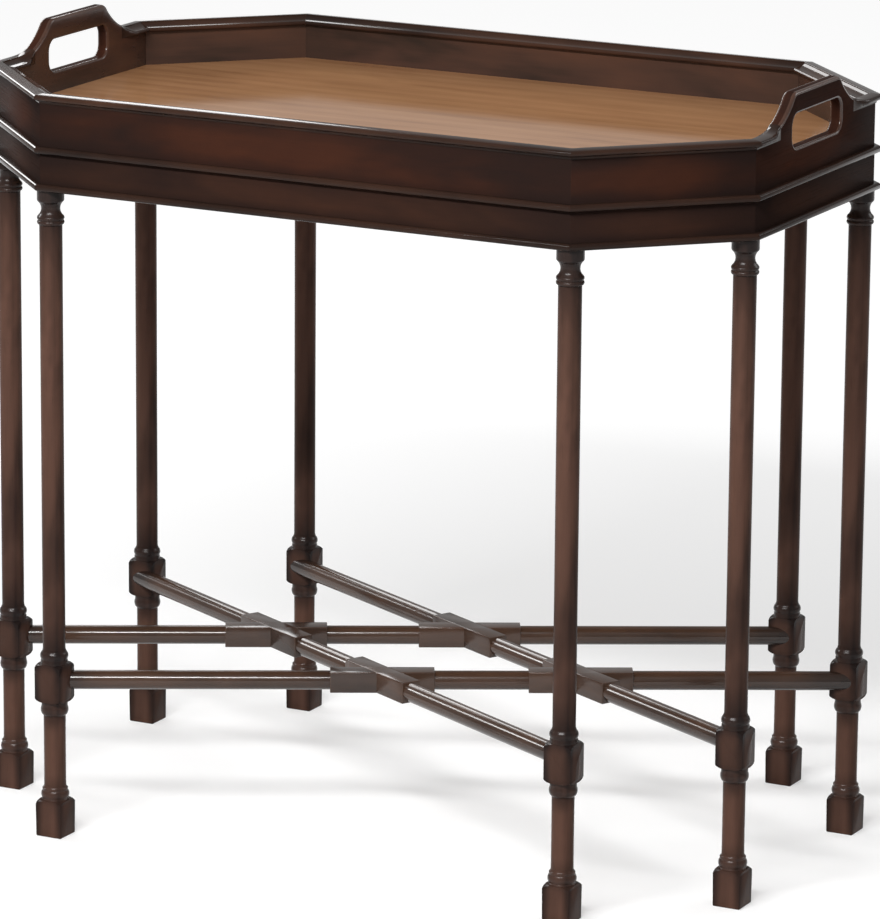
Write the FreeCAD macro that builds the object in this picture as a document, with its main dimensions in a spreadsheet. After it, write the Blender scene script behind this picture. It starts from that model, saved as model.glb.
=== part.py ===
# A butler's tray table of dark wood.
# A lift-off tray with cut corners and two raised handles rests on a stand of the same outline,
# which has a mitred apron, eight turned legs and four stretchers halved together as a double X.
# Millimetres, +Z up, +X along the table, +Y to the rear, origin on the floor under the middle.
import FreeCAD
import Part
import Sketcher
import os
import re

doc = FreeCAD.newDocument("tray_table")

sizes = {
    # Outline of the table at the outer face of its apron
    "half_length": 392.0,
    "half_width": 254.0,
    "end_length": 264.0,
    # Heights: two above the floor, then the apron's, the tray's and the crest's above the rim
    "stretcher_level": 149.0,
    "apron_base": 618.0,
    "apron_height": 39.5,
    "tray_height": 50.5,
    "crest_rise": 29.0,
    # Apron and its two bead strips
    "apron_thickness": 20.0,
    "bead_height": 6.5,
    "bead_reach": 6.0,
    "bead_round": 2.5,
    "bead_above_seat": 1.75,
    # Legs, from the top down
    "leg_inset": 11.0,
    "pin_side": 12.0,
    "pin_length": 26.0,
    "cap_radius": 12.6,
    "cap_height": 9.7,
    "neck_radius": 8.9,
    "neck_height": 13.5,
    "ring_radius": 12.4,
    "ring_height": 9.0,
    "ring_bevel": 2.2,
    "shaft_radius": 10.4,
    "collar_radius": 12.7,
    "collar_height": 12.0,
    "collar_bevel": 2.2,
    "block_side": 27.0,
    "block_height": 37.0,
    "foot_side": 27.0,
    "foot_height": 35.0,
    # Stretchers
    "bar_radius": 9.0,
    "lap_side": 20.0,
    "lap_length": 98.0,
    "aim_offset": 8.0,
    "tenon_side": 9.0,
    "tenon_depth": 6.0,
    # Tray walls and floor
    "wall_thickness": 12.0,
    "floor_thickness": 6.0,
    "floor_raise": 2.5,
    "groove_depth": 5.0,
    # Rim capping, from its outer nose inwards
    "rim_height": 9.0,
    "rim_reach": 6.0,
    "rim_nose": 3.0,
    "rim_band": 9.0,
    "rim_quirk": 1.2,
    "rim_hollow": 1.0,
    "rim_bead": 4.2,
    "rim_bead_nose": 1.9,
    "rim_overhang": 6.0,
    # Handles in the end boards
    "return_length": 28.0,
    "crest_half": 45.0,
    "hole_half": 51.0,
    "hole_drop": 22.0,
    "hole_height": 31.0,
    "hole_corner": 11.0,
    "crest_bevel": 2.2,
    "hole_bevel": 1.6,
    # Fits
    "tray_clearance": 0.4,
    "joint_clearance": 0.1,
    # How far a saw cut runs past the wood
    "saw_reach": 40.0,
}
sheet = doc.addObject("Spreadsheet::Sheet", "sizes")
for row, (alias, value) in enumerate(sizes.items(), start=1):
    sheet.set(f"A{row}", alias)
    sheet.set(f"B{row}", str(value))
    sheet.setAlias(f"B{row}", alias)
doc.recompute()

# Neighbouring sides turn by 45 degrees, so each mitre turns by half of that.
MITRE = "tan(22.5)"
CORNER_CUT = "(half_width - end_length / 2)"
SIDE_LENGTH = f"(2 * (half_length - {CORNER_CUT}))"
CORNER_LENGTH = f"(sqrt(2) * {CORNER_CUT})"
CORNER_X = f"(half_length - {CORNER_CUT} / 2)"
CORNER_Y = f"(half_width - {CORNER_CUT} / 2)"
SEAT_LEVEL = "(apron_base + apron_height)"

# Each side of the outline: its name, its length, the middle of its outer face and its turn.
# In a side's own frame x runs along it, y points out of the table and z points up.
SIDES = [
    ("front", SIDE_LENGTH, "0", "-half_width", 180),
    ("corner_front_right", CORNER_LENGTH, CORNER_X, f"-{CORNER_Y}", 225),
    ("right", "end_length", "half_length", "0", 270),
    ("corner_rear_right", CORNER_LENGTH, CORNER_X, CORNER_Y, 315),
    ("rear", SIDE_LENGTH, "0", "half_width", 0),
    ("corner_rear_left", CORNER_LENGTH, f"-{CORNER_X}", CORNER_Y, 45),
    ("left", "end_length", "-half_length", "0", 90),
    ("corner_front_left", CORNER_LENGTH, f"-{CORNER_X}", f"-{CORNER_Y}", 135),
]
END_SIDES = ("right", "left")
BOTH_ENDS = (1, -1)
# The signs of a rectangle's corners, in order round it
CORNERS = ((-1, -1), (1, -1), (1, 1), (-1, 1))

# Leg axes: a leg stands under each corner of the outline, set in by the same distance from both
# of the sides that meet there.
END_LEG_X = "(half_length - leg_inset)"
END_LEG_Y = f"(end_length / 2 - leg_inset * {MITRE})"
SIDE_LEG_X = f"({SIDE_LENGTH} / 2 - leg_inset * {MITRE})"
SIDE_LEG_Y = "(half_width - leg_inset)"

# A stretcher runs from an end leg to the far side leg. It aims at a point beside each leg's axis,
# offset towards the middle of the table.
RUN = f"({END_LEG_X} + {SIDE_LEG_X})"
RISE = f"({END_LEG_Y} + {SIDE_LEG_Y} - 2 * aim_offset)"
SLANT = f"(atan2({RISE}; {RUN}) / (1 deg))"
BAR_LENGTH = f"sqrt({RUN}^2 + {RISE}^2)"

# Points closer than this are the same point
TOUCH = 0.001

parts = []


def bound(text):
    """An expression whose sizes are read from the sheet."""
    return re.sub(r"[a-z]+(_[a-z]+)+", lambda word: f"sizes.{word.group(0)}", text)


def number(text):
    """The present value of an expression."""
    value = sheet.evalExpression(bound(text))
    return float(getattr(value, "Value", value))


def new_body(name, x, y, z, turn):
    """A body for one piece, put in its place and turned about the upright by so many degrees."""
    body = doc.addObject("PartDesign::Body", name)
    body.Label = name
    body.setExpression(".Placement.Base.x", bound(x))
    body.setExpression(".Placement.Base.y", bound(y))
    body.setExpression(".Placement.Base.z", bound(z))
    body.setExpression(".Placement.Rotation.Angle", bound(turn))
    parts.append(body)
    return body


def origin_plane(body, role):
    """One of the body's own origin planes."""
    return [feature for feature in body.Origin.OriginFeatures if feature.Role == role][0]


def new_sketch(body, name, role, offset="0"):
    """A sketch on an origin plane of the body, or beside it by an offset along its normal."""
    sketch = body.newObject("Sketcher::SketchObject", f"{body.Name}_{name}")
    sketch.AttachmentSupport = [(origin_plane(body, role), "")]
    sketch.MapMode = "FlatFace"
    sketch.setExpression(".AttachmentOffset.Base.z", bound(offset))
    return sketch


def constrain(sketch, text, kind, *where):
    """A dimension of the sketch that follows an expression."""
    index = sketch.addConstraint(Sketcher.Constraint(kind, *where, number(text)))
    sketch.setExpression(f"Constraints[{index}]", bound(text))


def outline(sketch, points):
    """A closed outline through points of x and y.

    A third value makes the edge to the next point an arc of that rise, to the right of the way.
    """
    spots = [FreeCAD.Vector(number(point[0]), number(point[1]), 0) for point in points]
    edges = []
    for index, point in enumerate(points):
        start = spots[index]
        end = spots[(index + 1) % len(spots)]
        if len(point) == 2:
            edges.append(sketch.addGeometry(Part.LineSegment(start, end)))
            continue
        right = FreeCAD.Vector(end.y - start.y, start.x - end.x, 0).normalize()
        middle = (start + end) / 2 + right * number(point[2])
        edges.append(sketch.addGeometry(Part.ArcOfCircle(start, middle, end)))

    def end_at(edge, spot):
        return min((1, 2), key=lambda end: sketch.getPoint(edge, end).distanceToPoint(spot))

    for index, (point, spot) in enumerate(zip(points, spots)):
        edge = edges[index]
        before = edges[index - 1]
        end = end_at(edge, spot)
        sketch.addConstraint(Sketcher.Constraint("Coincident", before, end_at(before, spot), edge, end))
        constrain(sketch, point[0], "DistanceX", -1, 1, edge, end)
        constrain(sketch, point[1], "DistanceY", -1, 1, edge, end)
        if len(point) == 3:
            after = points[(index + 1) % len(points)]
            chord = f"(({after[0]} - ({point[0]}))^2 + ({after[1]} - ({point[1]}))^2)"
            rise = f"abs({point[2]})"
            constrain(sketch, f"{chord} / (8 * {rise}) + {rise} / 2", "Radius", edge)


def circle(sketch, x, y, radius):
    """A circle about a point."""
    middle = FreeCAD.Vector(number(x), number(y), 0)
    edge = sketch.addGeometry(Part.Circle(middle, FreeCAD.Vector(0, 0, 1), number(radius)))
    constrain(sketch, x, "DistanceX", -1, 1, edge, 3)
    constrain(sketch, y, "DistanceY", -1, 1, edge, 3)
    constrain(sketch, radius, "Radius", edge)


def square(sketch, side, x="0", y="0", turn=0):
    """A square about a point, turned by so many degrees."""
    half = f"({side}) / 2"
    outline(sketch, [
        (f"{x} + {half} * ({a} * cos({turn}) - {b} * sin({turn}))",
         f"{y} + {half} * ({a} * sin({turn}) + {b} * cos({turn}))")
        for a, b in CORNERS
    ])


def pad(body, sketch, length, side_type="One side"):
    """Wood raised from a sketch."""
    feature = body.newObject("PartDesign::Pad", f"{sketch.Name}_pad")
    feature.Profile = sketch
    feature.SideType = side_type
    feature.setExpression("Length", bound(length))


def pocket(body, sketch, depth=None, upward=False):
    """Wood cut away: through everything both ways, or to a depth on one side of the sketch."""
    feature = body.newObject("PartDesign::Pocket", f"{sketch.Name}_pocket")
    feature.Profile = sketch
    feature.Reversed = upward
    if depth is None:
        feature.Type = "ThroughAll"
        feature.SideType = "Symmetric"
    else:
        feature.setExpression("Length", bound(depth))


def saw_mitres(body, length, ends):
    """Cuts the ends of a piece on the lines where it meets its neighbours."""
    sketch = new_sketch(body, "mitres", "XY_Plane")
    for end in ends:
        outline(sketch, [
            (f"{end} * ({length} / 2 - saw_reach * {MITRE})", "-saw_reach"),
            (f"{end} * ({length} / 2 + saw_reach * {MITRE})", "saw_reach"),
            (f"{end} * ({length} / 2 + 2 * saw_reach)", "saw_reach"),
            (f"{end} * ({length} / 2 + 2 * saw_reach)", "-saw_reach"),
        ])
    pocket(body, sketch)


def strip(name, side, level, profile):
    """A straight piece along one side with a section of points out and up, mitred at both ends."""
    side_name, length, x, y, turn = side
    body = new_body(f"{name}_{side_name}", x, y, level, str(turn))
    section = new_sketch(body, "section", "YZ_Plane")
    outline(section, profile)
    pad(body, section, f"{length} + 2 * saw_reach", "Symmetric")
    saw_mitres(body, length, BOTH_ENDS)
    return body


# Apron rails, mortised from below at both mitres for the square pins of the legs
APRON_SECTION = [
    ("-apron_thickness", "0"),
    ("0", "0"),
    ("0", "apron_height"),
    ("-apron_thickness", "apron_height"),
]
for side in SIDES:
    rail = strip("apron", side, "apron_base", APRON_SECTION)
    holes = new_sketch(rail, "holes", "XY_Plane")
    for end in BOTH_ENDS:
        from_middle = f"{end} * ({side[1]} / 2 - leg_inset * {MITRE})"
        square(holes, "pin_side + 2 * joint_clearance", from_middle, "-leg_inset", -side[4])
    pocket(rail, holes, "pin_length + joint_clearance", upward=True)

# Bead strips: flat at the back, round at the nose. One runs along the bottom of the apron, the
# other along its top, where its upper edge stands proud of the seat and keeps the tray in place.
BEAD_SECTION = [
    ("0", "0"),
    ("bead_reach - bead_round", "0", "bead_round"),
    ("bead_reach - bead_round", "bead_height"),
    ("0", "bead_height"),
]
for side in SIDES:
    strip("base_bead", side, "apron_base", BEAD_SECTION)
    strip("seat_bead", side, f"{SEAT_LEVEL} + bead_above_seat - bead_height", BEAD_SECTION)

# Legs, each turned from one stick between a square foot and a square block for the stretcher
BLOCK_BASE = "(stretcher_level - block_height / 2)"
BLOCK_TOP = "(stretcher_level + block_height / 2)"
CAP_BASE = "(apron_base - cap_height)"
RING_TOP = "(apron_base - cap_height - neck_height)"
RING_BASE = "(apron_base - cap_height - neck_height - ring_height)"
LEG_PROFILE = [
    ("0", "foot_height / 2"),
    ("collar_radius", "foot_height / 2"),
    ("collar_radius", "foot_height + collar_height - collar_bevel"),
    ("shaft_radius", "foot_height + collar_height"),
    ("shaft_radius", f"{BLOCK_BASE} - collar_height"),
    ("collar_radius", f"{BLOCK_BASE} - collar_height + collar_bevel"),
    ("collar_radius", f"{BLOCK_TOP} + collar_height - collar_bevel"),
    ("shaft_radius", f"{BLOCK_TOP} + collar_height"),
    ("shaft_radius", RING_BASE),
    ("ring_radius", f"{RING_BASE} + ring_bevel"),
    ("ring_radius", RING_TOP),
    ("neck_radius", f"{RING_TOP} + neck_height / 2"),
    ("cap_radius", CAP_BASE),
    ("cap_radius", "apron_base"),
    ("0", "apron_base"),
]
MORTISE_STOP = "(tenon_depth + joint_clearance)"
# Name, then the leg's axis and the quarter of the table that it stands in
LEGS = [
    ("leg_left_front", END_LEG_X, END_LEG_Y, -1, -1),
    ("leg_left_rear", END_LEG_X, END_LEG_Y, -1, 1),
    ("leg_right_front", END_LEG_X, END_LEG_Y, 1, -1),
    ("leg_right_rear", END_LEG_X, END_LEG_Y, 1, 1),
    ("leg_front_left", SIDE_LEG_X, SIDE_LEG_Y, -1, -1),
    ("leg_front_right", SIDE_LEG_X, SIDE_LEG_Y, 1, -1),
    ("leg_rear_left", SIDE_LEG_X, SIDE_LEG_Y, -1, 1),
    ("leg_rear_right", SIDE_LEG_X, SIDE_LEG_Y, 1, 1),
]
for name, x, y, along, across in LEGS:
    leg = new_body(name, f"{along} * {x}", f"{across} * {y}", "0", "0")
    turning = new_sketch(leg, "turning", "XZ_Plane")
    outline(turning, LEG_PROFILE)
    spin = leg.newObject("PartDesign::Revolution", f"{name}_spin")
    spin.Profile = turning
    spin.ReferenceAxis = (turning, ["V_Axis"])
    spin.Angle = 360
    foot = new_sketch(leg, "foot", "XY_Plane")
    square(foot, "foot_side")
    pad(leg, foot, "foot_height")
    block = new_sketch(leg, "block", "XY_Plane", BLOCK_BASE)
    square(block, "block_side")
    pad(leg, block, "block_height")
    pin = new_sketch(leg, "pin", "XY_Plane", "apron_base")
    square(pin, "pin_side")
    pad(leg, pin, "pin_length")
    # The mortise lies along the stretcher, from open air to its stop inside the block
    half_mortise = "(tenon_side / 2 + joint_clearance)"
    mortise = new_sketch(leg, "mortise", "XY_Plane", f"stretcher_level - {half_mortise}")
    outline(mortise, [
        (f"{along} * {reach} * cos({SLANT}) + {across * flank} * {half_mortise} * sin({SLANT})",
         f"{across} * ({reach} * sin({SLANT}) - aim_offset)"
         f" - {along * flank} * {half_mortise} * cos({SLANT})")
        for reach, flank in (("-block_side", 1), (MORTISE_STOP, 1), (MORTISE_STOP, -1), ("-block_side", -1))
    ])
    pocket(leg, mortise, f"2 * {half_mortise}", upward=True)

# Stretchers: round bars with two squared lengths where they cross. The lower pair is notched from
# above and the upper pair from below, so that all four lie flush. Each end is scribed round the
# inner corner of the leg's block and has a square tenon.
FIRST_LAP = f"({BAR_LENGTH} * ({END_LEG_Y} - aim_offset) / {RISE})"
SECOND_LAP = f"({BAR_LENGTH} * {END_LEG_X} / {RUN})"
SCRIBED_TIP = f"((aim_offset - block_side / 2 + bar_radius * cos({SLANT})) / sin({SLANT}))"
# Name, quarter of its end leg, and the way its slant leans
STRETCHERS = [
    ("stretcher_lower_rear", -1, -1, 1),
    ("stretcher_lower_front", 1, 1, 1),
    ("stretcher_upper_front", -1, 1, -1),
    ("stretcher_upper_rear", 1, -1, -1),
]
for name, along, across, lean in STRETCHERS:
    bar = new_body(name, f"{along} * {END_LEG_X}", f"{across} * ({END_LEG_Y} - aim_offset)",
                   "stretcher_level", f"{90 + 90 * along} + {lean} * {SLANT}")
    rod = new_sketch(bar, "rod", "YZ_Plane", f"-{SCRIBED_TIP}")
    circle(rod, "0", "0", "bar_radius")
    pad(bar, rod, f"{BAR_LENGTH} + 2 * {SCRIBED_TIP}")
    for lap_name, lap in (("first_lap", FIRST_LAP), ("second_lap", SECOND_LAP)):
        lap_square = new_sketch(bar, lap_name, "YZ_Plane", f"{lap} - lap_length / 2")
        square(lap_square, "lap_side")
        pad(bar, lap_square, "lap_length")
    scribe = new_sketch(bar, "scribe", "XY_Plane")
    for leg_x, leg_y in ((f"-aim_offset * sin({SLANT})", f"-{lean} * aim_offset * cos({SLANT})"),
                         (f"{BAR_LENGTH} + aim_offset * sin({SLANT})",
                          f"{lean} * aim_offset * cos({SLANT})")):
        outline(scribe, [
            (f"{leg_x} + block_side / 2 * ({a} * cos({SLANT}) + {lean * b} * sin({SLANT}))",
             f"{leg_y} + block_side / 2 * ({b} * cos({SLANT}) - {lean * a} * sin({SLANT}))")
            for a, b in CORNERS
        ])
    pocket(bar, scribe)
    tenons = new_sketch(bar, "tenons", "YZ_Plane", "-tenon_depth")
    square(tenons, "tenon_side")
    pad(bar, tenons, f"{BAR_LENGTH} + 2 * tenon_depth")
    notches = new_sketch(bar, "notches", "XY_Plane")
    half_notch = "(lap_side / 2 + joint_clearance)"
    for lap in (FIRST_LAP, SECOND_LAP):
        outline(notches, [
            (f"{lap} + ({a} * {half_notch} - {lean * b} * lap_side * cos(2 * {SLANT})) / sin(2 * {SLANT})",
             f"{b} * lap_side")
            for a, b in CORNERS
        ])
    pocket(bar, notches, "lap_side", upward=lean > 0)

# Tray floor, a loose panel in the grooves of the walls
PANEL_INSET = "(tray_clearance + wall_thickness - groove_depth + joint_clearance)"
PANEL_X = f"(half_length - {PANEL_INSET})"
PANEL_Y = f"(half_width - {PANEL_INSET})"
PANEL_SIDE = f"({SIDE_LENGTH} / 2 - {PANEL_INSET} * {MITRE})"
PANEL_END = f"(end_length / 2 - {PANEL_INSET} * {MITRE})"
floor = new_body("tray_floor", "0", "0", f"{SEAT_LEVEL} + floor_raise", "0")
panel = new_sketch(floor, "panel", "XY_Plane")
outline(panel, [
    (f"-{PANEL_SIDE}", f"-{PANEL_Y}"),
    (PANEL_SIDE, f"-{PANEL_Y}"),
    (PANEL_X, f"-{PANEL_END}"),
    (PANEL_X, PANEL_END),
    (PANEL_SIDE, PANEL_Y),
    (f"-{PANEL_SIDE}", PANEL_Y),
    (f"-{PANEL_X}", PANEL_END),
    (f"-{PANEL_X}", f"-{PANEL_END}"),
])
pad(floor, panel, "floor_thickness")

# Plain tray walls, grooved on the inside for the floor
WALL_OUT = "-tray_clearance"
WALL_IN = "(-tray_clearance - wall_thickness)"
WALL_HEIGHT = "(tray_height - rim_height)"
GROOVE_TOP = "(floor_raise + floor_thickness + joint_clearance)"
WALL_SECTION = [
    (WALL_IN, "0"),
    (WALL_OUT, "0"),
    (WALL_OUT, WALL_HEIGHT),
    (WALL_IN, WALL_HEIGHT),
    (WALL_IN, GROOVE_TOP),
    (f"{WALL_IN} + groove_depth", GROOVE_TOP),
    (f"{WALL_IN} + groove_depth", "floor_raise"),
    (WALL_IN, "floor_raise"),
]
for side in SIDES:
    if side[0] not in END_SIDES:
        strip("tray_wall", side, SEAT_LEVEL, WALL_SECTION)

# End boards. Between the two rim returns the board rises in an ogee to a straight crest, over a
# hand hole with round corners. The ogee is level at both ends: a long hollow arc takes most of the
# rise, and a short round arc of the same turn takes the rest, under the crest.
RETURN_END = "(end_length / 2 - return_length)"
CREST_LEVEL = "(tray_height + crest_rise)"
OGEE_RUN = f"({RETURN_END} - crest_half)"
HOLLOW_SHARE = 0.85
OGEE_RADII = f"(({OGEE_RUN}^2 + crest_rise^2) / (2 * crest_rise))"
OGEE_SWELL = f"({OGEE_RADII} - sqrt({OGEE_RADII}^2 - ({OGEE_RUN}^2 + crest_rise^2) / 4))"
HOLLOW_SWELL = f"({HOLLOW_SHARE} * {OGEE_SWELL})"
ROUND_SWELL = f"((1 - {HOLLOW_SHARE}) * {OGEE_SWELL})"
SWEEP_X = f"({RETURN_END} - {HOLLOW_SHARE} * {OGEE_RUN})"
SWEEP_LEVEL = f"(tray_height + {HOLLOW_SHARE} * crest_rise)"
HOLE_BASE = "(tray_height - hole_drop)"
HOLE_TOP = "(tray_height - hole_drop + hole_height)"
HOLE_SWELL = "(hole_corner * (1 - cos(45)))"
HOLE_STRAIGHT = "(hole_half - hole_corner)"
BOARD_HALF = "(end_length / 2 + saw_reach)"
BOARD_OUTLINE = [
    (f"-{BOARD_HALF}", "0"),
    (BOARD_HALF, "0"),
    (BOARD_HALF, WALL_HEIGHT),
    (RETURN_END, WALL_HEIGHT),
    (RETURN_END, "tray_height", f"-{HOLLOW_SWELL}"),
    (SWEEP_X, SWEEP_LEVEL, ROUND_SWELL),
    ("crest_half", CREST_LEVEL),
    ("-crest_half", CREST_LEVEL, ROUND_SWELL),
    (f"-{SWEEP_X}", SWEEP_LEVEL, f"-{HOLLOW_SWELL}"),
    (f"-{RETURN_END}", "tray_height"),
    (f"-{RETURN_END}", WALL_HEIGHT),
    (f"-{BOARD_HALF}", WALL_HEIGHT),
]
HOLE_OUTLINE = [
    (f"-{HOLE_STRAIGHT}", HOLE_BASE),
    (HOLE_STRAIGHT, HOLE_BASE, HOLE_SWELL),
    ("hole_half", f"{HOLE_BASE} + hole_corner"),
    ("hole_half", f"{HOLE_TOP} - hole_corner", HOLE_SWELL),
    (HOLE_STRAIGHT, HOLE_TOP),
    (f"-{HOLE_STRAIGHT}", HOLE_TOP, HOLE_SWELL),
    ("-hole_half", f"{HOLE_TOP} - hole_corner"),
    ("-hole_half", f"{HOLE_BASE} + hole_corner", HOLE_SWELL),
]


def ease_edges(board, name, bevel, level):
    """Bevels the edges on both faces of a board that run on from a level stretch at a height."""
    doc.recompute()
    carrier = board.Tip
    chosen = []
    for index, edge in enumerate(carrier.Shape.Edges, start=1):
        heights = [vertex.Point.z - number(level) for vertex in edge.Vertexes]
        inwards = [vertex.Point.y for vertex in edge.Vertexes]
        level_edge = max(abs(height) for height in heights) < TOUCH
        lengthwise = abs(inwards[0] - inwards[-1]) < TOUCH
        if level_edge and lengthwise:
            chosen.append(f"Edge{index}")
    feature = board.newObject("PartDesign::Chamfer", f"{board.Name}_{name}")
    feature.Base = (carrier, chosen)
    feature.setExpression("Size", bound(bevel))


for side in SIDES:
    if side[0] not in END_SIDES:
        continue
    board = new_body(f"tray_end_{side[0]}", side[2], side[3], SEAT_LEVEL, str(side[4]))
    face = new_sketch(board, "face", "XZ_Plane", "tray_clearance")
    outline(face, BOARD_OUTLINE)
    outline(face, HOLE_OUTLINE)
    pad(board, face, "wall_thickness")
    groove = new_sketch(board, "groove", "YZ_Plane")
    outline(groove, [
        (f"{WALL_IN} - groove_depth", "floor_raise"),
        (f"{WALL_IN} + groove_depth", "floor_raise"),
        (f"{WALL_IN} + groove_depth", GROOVE_TOP),
        (f"{WALL_IN} - groove_depth", GROOVE_TOP),
    ])
    pocket(board, groove)
    saw_mitres(board, side[1], BOTH_ENDS)
    ease_edges(board, "crest_edges", "crest_bevel", CREST_LEVEL)
    ease_edges(board, "hole_edges", "hole_bevel", HOLE_BASE)

# Rim capping: a round nose outside, a flat band, a quirk, a hollow and a bead over the tray
RIM_IN = f"({WALL_IN} - rim_overhang + rim_bead_nose)"
RIM_SECTION = [
    (RIM_IN, "0"),
    ("rim_reach - rim_nose", "0", "rim_nose"),
    ("rim_reach - rim_nose", "rim_height"),
    ("rim_reach - rim_nose - rim_band", "rim_height"),
    ("rim_reach - rim_nose - rim_band", "rim_height - rim_quirk", "-rim_hollow"),
    (RIM_IN, "rim_bead", "rim_bead_nose"),
]
RIM_BASE = f"({SEAT_LEVEL} + tray_height - rim_height)"
for side in SIDES:
    if side[0] not in END_SIDES:
        strip("rim", side, RIM_BASE, RIM_SECTION)
        continue
    # Short returns beside the handle, mitred to the corner rims and square at the board's step
    for end_name, end in (("front", 1), ("rear", -1)):
        hand = end if side[0] == "right" else -end
        piece = new_body(f"rim_return_{side[0]}_{end_name}", side[2], side[3], RIM_BASE, str(side[4]))
        section = new_sketch(piece, "section", "YZ_Plane", f"{hand} * {RETURN_END}")
        outline(section, RIM_SECTION)
        pad(piece, section, "return_length + saw_reach")
        piece.Tip.Reversed = hand < 0
        saw_mitres(piece, side[1], (hand,))

doc.recompute()
for item in doc.Objects:
    if "Invalid" in item.State or "Error" in item.State:
        raise RuntimeError(f"{item.Label} failed to build: {item.State}")
for body in parts:
    if body.Shape.isNull() or not body.Shape.isValid() or len(body.Shape.Solids) != 1:
        raise RuntimeError(f"{body.Label} is not one sound solid")
os.makedirs("parts", exist_ok=True)
for body in parts:
    body.Shape.exportStep(f"parts/{body.Label}.step")
print(f"{len(parts)} parts written")
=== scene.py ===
import math

import bmesh
import bpy
from mathutils import Matrix, Vector
from mathutils.geometry import intersect_line_line_2d


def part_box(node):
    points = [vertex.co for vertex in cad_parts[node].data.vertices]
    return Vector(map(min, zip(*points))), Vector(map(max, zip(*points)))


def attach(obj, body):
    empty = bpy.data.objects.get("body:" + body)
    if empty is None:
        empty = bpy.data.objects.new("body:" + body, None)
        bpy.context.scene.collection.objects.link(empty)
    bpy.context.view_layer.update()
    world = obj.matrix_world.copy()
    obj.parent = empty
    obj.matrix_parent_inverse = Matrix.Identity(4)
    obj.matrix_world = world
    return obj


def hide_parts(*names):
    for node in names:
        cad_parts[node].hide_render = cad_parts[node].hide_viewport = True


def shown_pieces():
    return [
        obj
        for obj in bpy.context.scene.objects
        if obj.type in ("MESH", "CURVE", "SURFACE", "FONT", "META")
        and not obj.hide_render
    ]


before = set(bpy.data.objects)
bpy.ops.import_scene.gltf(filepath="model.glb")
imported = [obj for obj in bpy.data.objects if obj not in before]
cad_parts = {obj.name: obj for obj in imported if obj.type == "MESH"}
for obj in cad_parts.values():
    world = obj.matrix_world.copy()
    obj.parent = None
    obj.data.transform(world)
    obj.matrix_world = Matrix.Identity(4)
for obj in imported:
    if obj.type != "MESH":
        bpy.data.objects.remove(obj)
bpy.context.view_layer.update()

# Legs. Each of the eight legs is turned from one square length of hardwood: the foot and the block for the
# stretchers stay square, and the collars, shaft and head between them are turned. A square pin on the head
# is glued into the mitre of two aprons.
mm = 0.001
leg_height = 644 * mm
pin_side = 12 * mm
pin_drop = 27 * mm
square_ease = 1.2 * mm
ease_steps = 3
turning_steps = 48
smooth_angle = math.radians(32)
# Distances that count as none: in a cut, in a merge, and in finding points and edges
cut_tolerance = 0.0001 * mm
merge_tolerance = 0.001 * mm
tolerance = 0.01 * mm
loose_tolerance = 0.1 * mm
# Radius and height of the points of the turned lengths, in millimetres. A third number makes the line to a
# point an arc: it is the arc's rise over half its chord, above zero for a round, below zero for a hollow.
lower_turning = [
    (0, 33), (12.8, 33), (12.8, 35.8), (12.4, 36.3), (12.4, 36.9), (11.9, 44.1, 0.31), (12.0, 45),
    (12.0, 46.2), (10.4, 50, -0.25), (10.3, 58), (10.3, 98), (10.4, 116), (11.8, 118.4, -0.3),
    (12.3, 126, 0.25), (12.1, 132), (0, 132),
]
upper_turning = [
    (0, 166), (12.7, 166), (12.7, 170.6), (12.3, 171.3), (12.3, 171.9), (11.8, 178.4, 0.35),
    (10.6, 183, -0.15), (10.6, 320), (10.7, 460), (10.7, 585.4), (11.5, 585.5), (11.8, 589.4, 0.55),
    (11.8, 589.8), (12.0, 593.4, 0.45), (11.5, 606.7, -0.44), (12.6, 609, 0.3), (12.6, 618), (0, 618),
]
arc_steps = 6
# Heights and sizes of the squares, in millimetres. They are turned a little wider than their corners first,
# and then planed.
foot_top = 35
block_base = 130.5
block_top = 167.5
square_half = 13.5
turned_share = 1.43
corner_radius = square_half * turned_share
shoulder_radius = 12.4
shoulder_drop = 5
shoulder_steps = 5
leg_colours = ((0.014, 0.0096, 0.0088, 1), (0.070, 0.0365, 0.0262, 1), (0.114, 0.0575, 0.041, 1))
leg_gloss = (0.045, 0.16, 0.26)
collar_gloss = (0.15, 0.2, 0.28)
# The heights between which the collars lie, in millimetres
collars = [(35, 47.6), (117.8, 131), (167, 180), (585.4, 618)]
# Height in millimetres, and how far the dark glaze covers the wood there
leg_glaze_bands = [
    (0, 0.3), (30, 0.5), (36, 0.72), (46, 0.65), (62, 0.15), (102, 0.18), (118, 0.75), (129, 0.7),
    (136, 0.4), (160, 0.4), (168, 0.75), (180, 0.7), (210, 0.3), (400, 0.05), (550, 0.25), (584, 0.72),
    (618, 0.75),
]
edge_glaze_width = 9 * mm
edge_glaze = 0.5
# The noises that make up the wood: waves per metre along and across the grain, detail and distortion
cloud_noise = (5.0, 17.0, 3.0, 0.4)
streak_noise = (3.5, 95.0, 4.0, 0.3)
fibre_noise = (18.0, 620.0, 3.0, 0.2)
pore_noise = (60.0, 2200.0, 2.0, 0.0)
patch_noise = (9.0, 22.0, 3.0, 0.3)
noise_roughness = 0.6
streak_share = 0.16
fibre_share = 0.06
# The tones at which the deep, middle and glowing colours stand
deep_tone = 0.33
middle_tone = 0.47
glow_tone = 0.66
# A noise's lower and upper level, and what is made of each
glaze_by_patch = (0.35, 0.7, -0.2, 0.2)
rubbed_by_patch = (0.35, 0.7, 0.0, 0.5)
dark_by_pore = (0.62, 0.74, 0.0, 0.3)
fibre_levels = (0.25, 0.75)
bump_strength = 0.02
bump_height = 0.3 * mm
# From one piece to the next the grain starts at another place in the log
log_step = Vector((0.731, 0.377, 0.193))


def new_shape():
    """An empty bmesh whose faces carry a mark for worn edges."""
    shape = bmesh.new()
    shape.faces.layers.float.new("worn")
    return shape


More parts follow.
